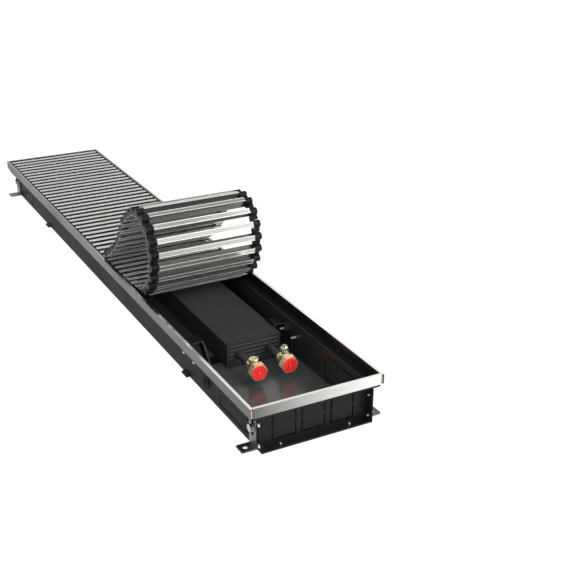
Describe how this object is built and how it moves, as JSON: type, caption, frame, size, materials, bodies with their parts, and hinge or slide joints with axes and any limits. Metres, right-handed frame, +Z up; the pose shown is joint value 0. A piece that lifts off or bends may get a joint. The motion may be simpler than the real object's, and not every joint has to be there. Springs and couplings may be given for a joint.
{
  "type": "trench convector heater",
  "caption": "Floor trench heater: black steel trough with an aluminium edge frame, finned exchanger with two capped connections, and a roll-up slat grille rolled part of the way back.",
  "frame": {"origin": "under the middle of the casing, on the floor of the duct", "axes": "+X to the right across the trench as seen from the connection end, +Y along the trench away from the connections, +Z up to the top of the frame"},
  "size_m": [0.272, 1.5, 0.2656],
  "materials": {
    "casing_black": "satin charcoal-black powder coat",
    "frame_aluminium": "natural anodised, drawn along its length",
    "slat_aluminium": "natural anodised, satin, light warm grey",
    "link_plastic": "black moulded plastic",
    "strip_rubber": "matt black",
    "exchanger_black": "matt black paint",
    "brass": "machined",
    "cap_red": "glossy, a little translucent",
    "vent_chrome": "polished",
    "foot_zinc": "galvanised, dull",
    "bolt_zinc": "bright zinc"
  },
  "bodies": {
    "trench": {"casing_pan": "casing_black", "near_end_plate": "casing_black", "far_end_plate": "casing_black", "left_frame_profile": "frame_aluminium", "right_frame_profile": "frame_aluminium", "near_frame_profile": "frame_aluminium", "far_frame_profile": "frame_aluminium", "frame_corner_keys": "bolt_zinc", "slat_bed_strips": "strip_rubber", "laid_slats": "slat_aluminium", "laid_links": "link_plastic", "fin_pack": "exchanger_black", "exchanger_sheets": "exchanger_black", "exchanger_tube": "exchanger_black", "exchanger_cradles": "exchanger_black", "cradle_bolts": "bolt_zinc", "left_union": "brass", "right_union": "brass", "left_union_nut": "brass", "right_union_nut": "brass", "vent_body": "vent_chrome", "cable_grommet": "strip_rubber", "foot_bolts": "bolt_zinc", "foot_washers": "bolt_zinc", "foot_nuts": "bolt_zinc", "casing_screws": "bolt_zinc", "edge_lugs": "link_plastic"},
    "slat_1": {"rolled_slat_1": "slat_aluminium"},
    "slat_2": {"rolled_slat_2": "slat_aluminium"},
    "slat_3": {"rolled_slat_3": "slat_aluminium"},
    "slat_4": {"rolled_slat_4": "slat_aluminium"},
    "slat_5": {"rolled_slat_5": "slat_aluminium"},
    "slat_6": {"rolled_slat_6": "slat_aluminium"},
    "slat_7": {"rolled_slat_7": "slat_aluminium"},
    "slat_8": {"rolled_slat_8": "slat_aluminium"},
    "slat_9": {"rolled_slat_9": "slat_aluminium"},
    "slat_10": {"rolled_slat_10": "slat_aluminium"},
    "slat_11": {"rolled_slat_11": "slat_aluminium"},
    "slat_12": {"rolled_slat_12": "slat_aluminium"},
    "slat_13": {"rolled_slat_13": "slat_aluminium"},
    "slat_14": {"rolled_slat_14": "slat_aluminium"},
    "slat_15": {"rolled_slat_15": "slat_aluminium"},
    "slat_16": {"rolled_slat_16": "slat_aluminium"},
    "slat_17": {"rolled_slat_17": "slat_aluminium"},
    "slat_18": {"rolled_slat_18": "slat_aluminium"},
    "slat_19": {"rolled_slat_19": "slat_aluminium"},
    "slat_20": {"rolled_slat_20": "slat_aluminium"},
    "slat_21": {"rolled_slat_21": "slat_aluminium"},
    "slat_22": {"rolled_slat_22": "slat_aluminium"},
    "slat_23": {"rolled_slat_23": "slat_aluminium"},
    "slat_24": {"rolled_slat_24": "slat_aluminium"},
    "foot_near_left": {"foot_near_left": "foot_zinc"},
    "foot_near_right": {"foot_near_right": "foot_zinc"},
    "foot_far_left": {"foot_far_left": "foot_zinc"},
    "foot_far_right": {"foot_far_right": "foot_zinc"},
    "left_cap": {"left_cap": "cap_red"},
    "right_cap": {"right_cap": "cap_red"},
    "vent_knob": {"vent_knob": "vent_chrome"}
  },
  "joints": [
    {"name": "grille_lift", "type": "hinge", "parent": "trench", "child": "slat_1", "pos_m": [0, -0.15762, 0.085], "axis": [1, 0, 0], "range_deg": [0, 2]},
    {"name": "link_2_turn", "type": "hinge", "parent": "slat_1", "child": "slat_2", "pos_m": [0, -0.18186, 0.08585], "axis": [1, 0, 0], "range_deg": [0, 2]},
    {"name": "link_3_turn", "type": "hinge", "parent": "slat_2", "child": "slat_3", "pos_m": [0, -0.20605, 0.08754], "axis": [1, 0, 0], "range_deg": [0, 2]},
    {"name": "link_4_turn", "type": "hinge", "parent": "slat_3", "child": "slat_4", "pos_m": [0, -0.23017, 0.09007], "axis": [1, 0, 0], "range_deg": [0, 15]},
    {"name": "link_5_turn", "type": "hinge", "parent": "slat_4", "child": "slat_5", "pos_m": [0, -0.25281, 0.09876], "axis": [1, 0, 0], "range_deg": [0, 15]},
    {"name": "link_6_turn", "type": "hinge", "parent": "slat_5", "child": "slat_6", "pos_m": [0, -0.27243, 0.11302], "axis": [1, 0, 0], "range_deg": [0, 15]},
    {"name": "link_7_turn", "type": "hinge", "parent": "slat_6", "child": "slat_7", "pos_m": [0, -0.28769, 0.13186], "axis": [1, 0, 0], "range_deg": [0, 15]},
    {"name": "link_8_turn", "type": "hinge", "parent": "slat_7", "child": "slat_8", "pos_m": [0, -0.29755, 0.15402], "axis": [1, 0, 0], "range_deg": [0, 15]},
    {"name": "link_9_turn", "type": "hinge", "parent": "slat_8", "child": "slat_9", "pos_m": [0, -0.30134, 0.17797], "axis": [1, 0, 0], "range_deg": [0, 15]},
    {"name": "grille_rise", "type": "hinge", "parent": "slat_9", "child": "slat_10", "pos_m": [0, -0.29881, 0.20208], "axis": [1, 0, 0], "range_deg": [0, 15]},
    {"name": "link_11_turn", "type": "hinge", "parent": "slat_10", "child": "slat_11", "pos_m": [0, -0.29012, 0.22472], "axis": [1, 0, 0], "range_deg": [0, 22.5]},
    {"name": "link_12_turn", "type": "hinge", "parent": "slat_11", "child": "slat_12", "pos_m": [0, -0.27343, 0.24231], "axis": [1, 0, 0], "range_deg": [0, 22.5]},
    {"name": "link_13_turn", "type": "hinge", "parent": "slat_12", "child": "slat_13", "pos_m": [0, -0.25127, 0.25218], "axis": [1, 0, 0], "range_deg": [0, 22.5]},
    {"name": "grille_crown", "type": "hinge", "parent": "slat_13", "child": "slat_14", "pos_m": [0, -0.22703, 0.25281], "axis": [1, 0, 0], "range_deg": [0, 22.5]},
    {"name": "link_15_turn", "type": "hinge", "parent": "slat_14", "child": "slat_15", "pos_m": [0, -0.20439, 0.24412], "axis": [1, 0, 0], "range_deg": [0, 9.5]},
    {"name": "link_16_turn", "type": "hinge", "parent": "slat_15", "child": "slat_16", "pos_m": [0, -0.1835, 0.23181], "axis": [1, 0, 0], "range_deg": [0, 9.5]},
    {"name": "link_17_turn", "type": "hinge", "parent": "slat_16", "child": "slat_17", "pos_m": [0, -0.16492, 0.21623], "axis": [1, 0, 0], "range_deg": [0, 9.5]},
    {"name": "grille_landing", "type": "hinge", "parent": "slat_17", "child": "slat_18", "pos_m": [0, -0.14917, 0.19779], "axis": [1, 0, 0], "range_deg": [0, 9.5]},
    {"name": "link_19_turn", "type": "hinge", "parent": "slat_18", "child": "slat_19", "pos_m": [0, -0.13668, 0.177], "axis": [1, 0, 0], "range_deg": [-6.5, 0]},
    {"name": "link_20_turn", "type": "hinge", "parent": "slat_19", "child": "slat_20", "pos_m": [0, -0.12192, 0.15776], "axis": [1, 0, 0], "range_deg": [-6.5, 0]},
    {"name": "link_21_turn", "type": "hinge", "parent": "slat_20", "child": "slat_21", "pos_m": [0, -0.10507, 0.14032], "axis": [1, 0, 0], "range_deg": [-6.5, 0]},
    {"name": "link_22_turn", "type": "hinge", "parent": "slat_21", "child": "slat_22", "pos_m": [0, -0.08636, 0.12489], "axis": [1, 0, 0], "range_deg": [-6.5, 0]},
    {"name": "link_23_turn", "type": "hinge", "parent": "slat_22", "child": "slat_23", "pos_m": [0, -0.06602, 0.11169], "axis": [1, 0, 0], "range_deg": [-6.5, 0]},
    {"name": "link_24_turn", "type": "hinge", "parent": "slat_23", "child": "slat_24", "pos_m": [0, -0.04432, 0.10086], "axis": [1, 0, 0], "range_deg": [-6.5, 0]},
    {"name": "foot_near_left_height", "type": "slide", "parent": "trench", "child": "foot_near_left", "axis": [0, 0, 1], "range_m": [-0.016, 0.003]},
    {"name": "foot_near_right_height", "type": "slide", "parent": "trench", "child": "foot_near_right", "axis": [0, 0, 1], "range_m": [-0.016, 0.003]},
    {"name": "foot_far_left_height", "type": "slide", "parent": "trench", "child": "foot_far_left", "axis": [0, 0, 1], "range_m": [-0.016, 0.003]},
    {"name": "foot_far_right_height", "type": "slide", "parent": "trench", "child": "foot_far_right", "axis": [0, 0, 1], "range_m": [-0.016, 0.003]},
    {"name": "left_cap_pull", "type": "slide", "parent": "trench", "child": "left_cap", "axis": [0, -1, 0], "range_m": [0, 0.03]},
    {"name": "right_cap_pull", "type": "slide", "parent": "trench", "child": "right_cap", "axis": [0, -1, 0], "range_m": [0, 0.03]},
    {"name": "vent_turn", "type": "hinge", "parent": "trench", "child": "vent_knob", "pos_m": [0.056, -0.5236, 0.045], "axis": [0, 0, 1], "range_deg": [0, 180]}
  ],
  "couplings": [
    {"joint": "link_2_turn", "follows": "grille_lift", "ratio": 1},
    {"joint": "link_3_turn", "follows": "grille_lift", "ratio": 1},
    {"joint": "link_4_turn", "follows": "grille_rise", "ratio": 1},
    {"joint": "link_5_turn", "follows": "grille_rise", "ratio": 1},
    {"joint": "link_6_turn", "follows": "grille_rise", "ratio": 1},
    {"joint": "link_7_turn", "follows": "grille_rise", "ratio": 1},
    {"joint": "link_8_turn", "follows": "grille_rise", "ratio": 1},
    {"joint": "link_9_turn", "follows": "grille_rise", "ratio": 1},
    {"joint": "link_11_turn", "follows": "grille_crown", "ratio": 1},
    {"joint": "link_12_turn", "follows": "grille_crown", "ratio": 1},
    {"joint": "link_13_turn", "follows": "grille_crown", "ratio": 1},
    {"joint": "link_15_turn", "follows": "grille_landing", "ratio": 1},
    {"joint": "link_16_turn", "follows": "grille_landing", "ratio": 1},
    {"joint": "link_17_turn", "follows": "grille_landing", "ratio": 1},
    {"joint": "link_19_turn", "follows": "grille_landing", "ratio": -0.68421},
    {"joint": "link_20_turn", "follows": "grille_landing", "ratio": -0.68421},
    {"joint": "link_21_turn", "follows": "grille_landing", "ratio": -0.68421},
    {"joint": "link_22_turn", "follows": "grille_landing", "ratio": -0.68421},
    {"joint": "link_23_turn", "follows": "grille_landing", "ratio": -0.68421},
    {"joint": "link_24_turn", "follows": "grille_landing", "ratio": -0.68421}
  ]
}
